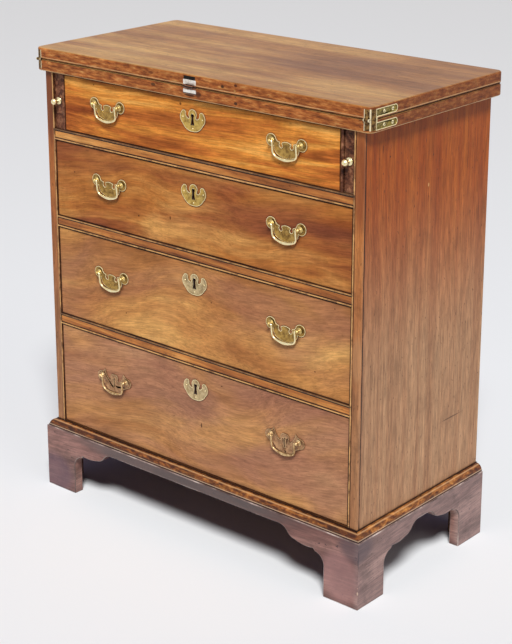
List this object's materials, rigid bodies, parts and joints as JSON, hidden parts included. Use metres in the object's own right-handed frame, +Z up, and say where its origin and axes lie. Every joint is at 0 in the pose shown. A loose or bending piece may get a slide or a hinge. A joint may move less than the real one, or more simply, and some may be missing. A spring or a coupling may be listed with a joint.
{
  "type": "bachelors chest",
  "caption": "Small mahogany chest of graduated drawers with bracket feet, a fold-over top that opens forward onto pull-out lopers, and brass bail handles",
  "frame": {"origin": "on the floor, at the middle of the bounding box in plan", "axes": "+Z up, +X to the right as seen from the front, the drawers open towards -Y"},
  "size_m": [0.762, 0.382, 0.8645],
  "materials": {
    "mahogany_drawers": "faded, waxed mahogany",
    "mahogany_top": "faded, waxed mahogany",
    "mahogany_sides": "faded, waxed mahogany",
    "mahogany_facings": "waxed mahogany",
    "mahogany_moulding": "polished mahogany",
    "mahogany_base": "worn, waxed mahogany",
    "pine": "bare, aged",
    "oak": "bare, aged",
    "old_brass": "worn, lacquered",
    "iron": "dull, forged"
  },
  "bodies": {
    "carcase": {"carcase_side_left": "mahogany_sides", "carcase_side_right": "mahogany_sides", "carcase_bottom": "pine", "drawer_rails": "pine", "runners_and_guides": "pine", "dust_boards": "pine", "front_facings": "mahogany_facings", "cockbeads": "mahogany_facings", "loper_partitions": "mahogany_facings", "drawer_stops": "oak", "back_boards": "pine", "lower_leaf": "mahogany_top", "base_mouldings": "mahogany_moulding", "bracket_base": "mahogany_base", "rear_brackets": "pine", "glue_blocks": "pine", "hinge_lower_plates": "old_brass", "hinge_pins": "iron"},
    "folding_top": {"upper_leaf": "mahogany_top", "hinge_upper_plates": "old_brass"},
    "left_loper": {"loper_left": "mahogany_facings", "loper_knob_left": "old_brass"},
    "right_loper": {"loper_right": "mahogany_facings", "loper_knob_right": "old_brass"},
    "drawer_1": {"drawer_1_front": "mahogany_drawers", "drawer_1_box": "oak", "drawer_1_bottom": "oak", "drawer_1_lock": "iron", "drawer_1_escutcheon": "old_brass", "drawer_1_handle_plates": "old_brass", "drawer_1_handle_posts": "old_brass"},
    "drawer_2": {"drawer_2_front": "mahogany_drawers", "drawer_2_box": "oak", "drawer_2_bottom": "oak", "drawer_2_lock": "iron", "drawer_2_escutcheon": "old_brass", "drawer_2_handle_plates": "old_brass", "drawer_2_handle_posts": "old_brass"},
    "drawer_3": {"drawer_3_front": "mahogany_drawers", "drawer_3_box": "oak", "drawer_3_bottom": "oak", "drawer_3_lock": "iron", "drawer_3_escutcheon": "old_brass", "drawer_3_handle_plates": "old_brass", "drawer_3_handle_posts": "old_brass"},
    "drawer_4": {"drawer_4_front": "mahogany_drawers", "drawer_4_box": "oak", "drawer_4_bottom": "oak", "drawer_4_lock": "iron", "drawer_4_escutcheon": "old_brass", "drawer_4_handle_plates": "old_brass", "drawer_4_handle_posts": "old_brass"},
    "bail_1_left": {"drawer_1_bail_left": "old_brass"},
    "bail_1_right": {"drawer_1_bail_right": "old_brass"},
    "bail_2_left": {"drawer_2_bail_left": "old_brass"},
    "bail_2_right": {"drawer_2_bail_right": "old_brass"},
    "bail_3_left": {"drawer_3_bail_left": "old_brass"},
    "bail_3_right": {"drawer_3_bail_right": "old_brass"},
    "bail_4_left": {"drawer_4_bail_left": "old_brass"},
    "bail_4_right": {"drawer_4_bail_right": "old_brass"}
  },
  "joints": [
    {"name": "fold_top", "type": "hinge", "parent": "carcase", "child": "folding_top", "pos_m": [0, -0.18275, 0.84325], "axis": [1, 0, 0], "range_deg": [0, 180]},
    {"name": "loper_left_slide", "type": "slide", "parent": "carcase", "child": "left_loper", "axis": [0, -1, 0], "range_m": [0, 0.25]},
    {"name": "loper_right_slide", "type": "slide", "parent": "carcase", "child": "right_loper", "axis": [0, -1, 0], "range_m": [0, 0.25]},
    {"name": "drawer_1_slide", "type": "slide", "parent": "carcase", "child": "drawer_1", "axis": [0, -1, 0], "range_m": [0, 0.28]},
    {"name": "drawer_2_slide", "type": "slide", "parent": "carcase", "child": "drawer_2", "axis": [0, -1, 0], "range_m": [0, 0.28]},
    {"name": "drawer_3_slide", "type": "slide", "parent": "carcase", "child": "drawer_3", "axis": [0, -1, 0], "range_m": [0, 0.28]},
    {"name": "drawer_4_slide", "type": "slide", "parent": "carcase", "child": "drawer_4", "axis": [0, -1, 0], "range_m": [0, 0.28]},
    {"name": "bail_1_left_swing", "type": "hinge", "parent": "drawer_1", "child": "bail_1_left", "pos_m": [-0.206, -0.1825, 0.7795], "axis": [-1, 0, 0], "range_deg": [0, 195]},
    {"name": "bail_1_right_swing", "type": "hinge", "parent": "drawer_1", "child": "bail_1_right", "pos_m": [0.206, -0.1825, 0.7795], "axis": [-1, 0, 0], "range_deg": [0, 195]},
    {"name": "bail_2_left_swing", "type": "hinge", "parent": "drawer_2", "child": "bail_2_left", "pos_m": [-0.206, -0.1825, 0.6385], "axis": [-1, 0, 0], "range_deg": [0, 195]},
    {"name": "bail_2_right_swing", "type": "hinge", "parent": "drawer_2", "child": "bail_2_right", "pos_m": [0.206, -0.1825, 0.6385], "axis": [-1, 0, 0], "range_deg": [0, 195]},
    {"name": "bail_3_left_swing", "type": "hinge", "parent": "drawer_3", "child": "bail_3_left", "pos_m": [-0.206, -0.1825, 0.463], "axis": [-1, 0, 0], "range_deg": [0, 195]},
    {"name": "bail_3_right_swing", "type": "hinge", "parent": "drawer_3", "child": "bail_3_right", "pos_m": [0.206, -0.1825, 0.463], "axis": [-1, 0, 0], "range_deg": [0, 195]},
    {"name": "bail_4_left_swing", "type": "hinge", "parent": "drawer_4", "child": "bail_4_left", "pos_m": [-0.206, -0.1825, 0.2605], "axis": [-1, 0, 0], "range_deg": [0, 195]},
    {"name": "bail_4_right_swing", "type": "hinge", "parent": "drawer_4", "child": "bail_4_right", "pos_m": [0.206, -0.1825, 0.2605], "axis": [-1, 0, 0], "range_deg": [0, 195]}
  ]
}
